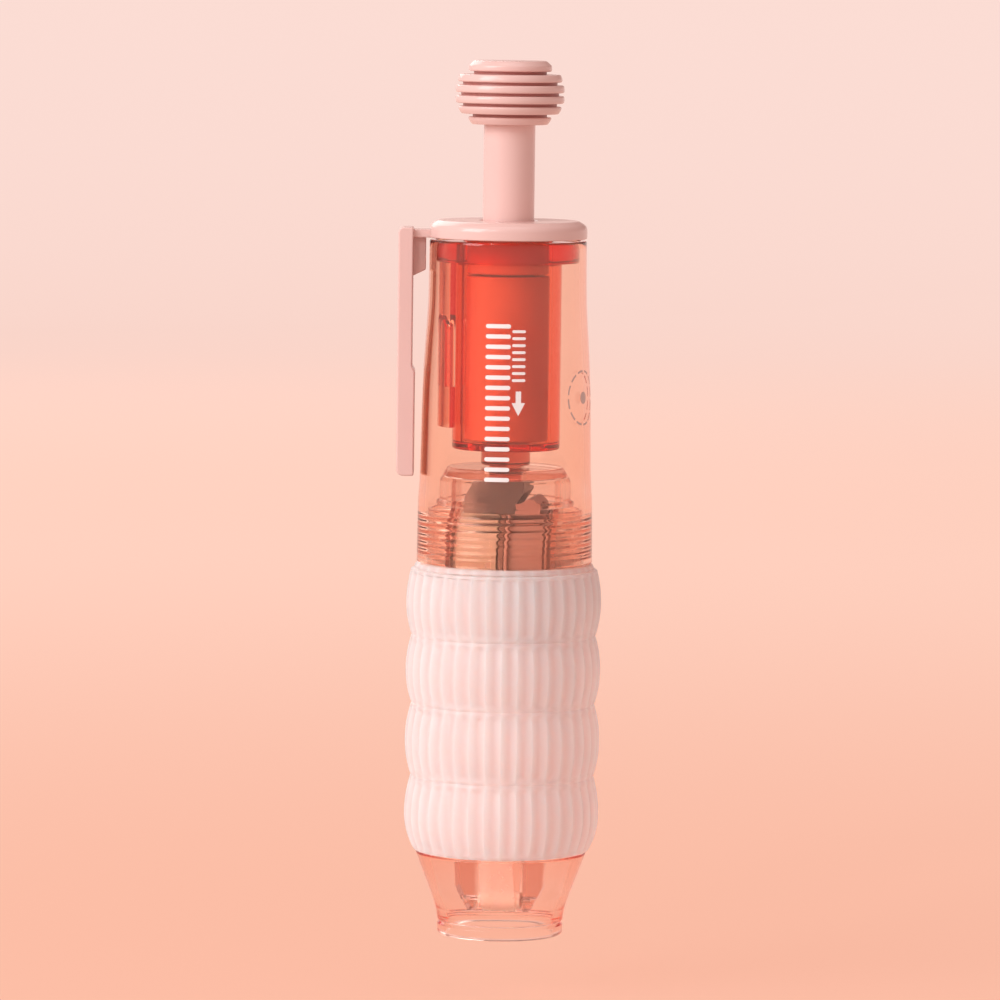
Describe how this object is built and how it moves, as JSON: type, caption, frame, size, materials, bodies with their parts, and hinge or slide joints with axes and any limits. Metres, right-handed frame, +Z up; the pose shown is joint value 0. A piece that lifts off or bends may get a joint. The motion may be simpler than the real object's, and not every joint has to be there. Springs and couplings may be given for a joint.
{
  "type": "press-type tape roller pen",
  "caption": "Pen-shaped tape roller: a ringed knob presses the tape carriage down so that its roller head comes out of the nose; clear barrel, side clip, soft ribbed grip.",
  "frame": {"origin": "middle of the pen's box, clip included, on the surface that its nose rim stands on; the pen's axis is 0.825 mm from it towards +X", "axes": "+Z up the pen's axis to the knob, -X towards the pocket clip, -Y towards the viewer"},
  "size_m": [0.0308, 0.0292, 0.13],
  "materials": {
    "pink_plastic": "satin light pink, opaque",
    "clear_coral": "clear moulded coral",
    "deep_coral": "deep coral, see-through",
    "clear_rose": "clear moulded rose",
    "silicone": "soft milky silicone",
    "dark_plastic": "dark grey-brown",
    "coral_plastic": "coral, opaque",
    "kraft_tape": "wound kraft-coloured tape",
    "liner_paper": "silicone-coated liner paper",
    "roller_rubber": "soft grey rubber",
    "steel": "bright drawn wire"
  },
  "bodies": {
    "barrel": {"barrel": "clear_coral", "end_cap": "pink_plastic", "plunger_guide": "deep_coral", "cam_housing": "pink_plastic", "return_spring": "steel"},
    "clip": {"pocket_clip": "pink_plastic"},
    "button": {"press_knob": "pink_plastic", "push_rod": "pink_plastic"},
    "carriage": {"carriage_stem": "deep_coral", "carriage_cap": "clear_rose", "reel_saddle": "dark_plastic", "carriage_frame": "clear_rose", "carriage_cover": "clear_rose", "front_guide_pin": "steel", "rear_guide_pin": "steel", "tape_run": "kraft_tape", "liner_run": "liner_paper", "roller_pin": "steel"},
    "rotor": {"click_rotor": "dark_plastic"},
    "supply_reel": {"supply_spool": "clear_rose", "tape_roll": "kraft_tape", "ratchet_disc": "dark_plastic", "reel_axle": "steel"},
    "take_up_reel": {"take_up_spool": "coral_plastic", "liner_roll": "liner_paper", "clutch_spring": "steel"},
    "roller": {"head_roller": "roller_rubber"},
    "washer": {"neck_washer": "silicone"},
    "front": {"lower_body": "clear_coral", "grip_sleeve": "silicone"}
  },
  "joints": [
    {"name": "button_press", "type": "slide", "parent": "barrel", "child": "button", "axis": [0, 0, -1], "range_m": [0, 0.01], "stiffness_N_per_m": 250, "springref_m": -0.004, "deforming": ["return_spring"]},
    {"name": "carriage_slide", "type": "slide", "parent": "barrel", "child": "carriage", "axis": [0, 0, -1], "range_m": [0, 0.01]},
    {"name": "rotor_index", "type": "hinge", "parent": "carriage", "child": "rotor", "pos_m": [0.00082, 0, 0.094], "axis": [0, 0, 1], "range_deg": [0, 45]},
    {"name": "supply_spin", "type": "hinge", "parent": "carriage", "child": "supply_reel", "pos_m": [0.00082, 0, 0.0562], "axis": [0.9863, -0.165, 0], "continuous": true},
    {"name": "take_up_spin", "type": "hinge", "parent": "carriage", "child": "take_up_reel", "pos_m": [0.00082, 0, 0.0562], "axis": [0.9863, -0.165, 0], "continuous": true},
    {"name": "roller_spin", "type": "hinge", "parent": "carriage", "child": "roller", "pos_m": [0.00082, 0, 0.0053], "axis": [0.9863, -0.165, 0], "continuous": true},
    {"name": "clip_flex", "type": "hinge", "parent": "barrel", "child": "clip", "pos_m": [-0.01077, 0, 0.1044], "axis": [0, 1, 0], "range_deg": [0, 4], "stiffness_Nm_per_rad": 0.5},
    {"name": "front_advance", "type": "slide", "parent": "barrel", "child": "washer", "axis": [0, 0, -1], "range_m": [0, 0.0075]},
    {"name": "front_unscrew", "type": "hinge", "parent": "washer", "child": "front", "pos_m": [0.00082, 0, 0.0591], "axis": [0, 0, -1], "range_deg": [0, 2520]}
  ],
  "couplings": [
    {"joint": "carriage_slide", "follows": "button_press", "ratio": 1},
    {"joint": "rotor_index", "follows": "button_press", "rad_per_m": 78.5},
    {"joint": "take_up_spin", "follows": "supply_spin", "ratio": 0.9396},
    {"joint": "roller_spin", "follows": "supply_spin", "ratio": 4.6667},
    {"joint": "front_advance", "follows": "front_unscrew", "m_per_rad": 0.0001687}
  ]
}
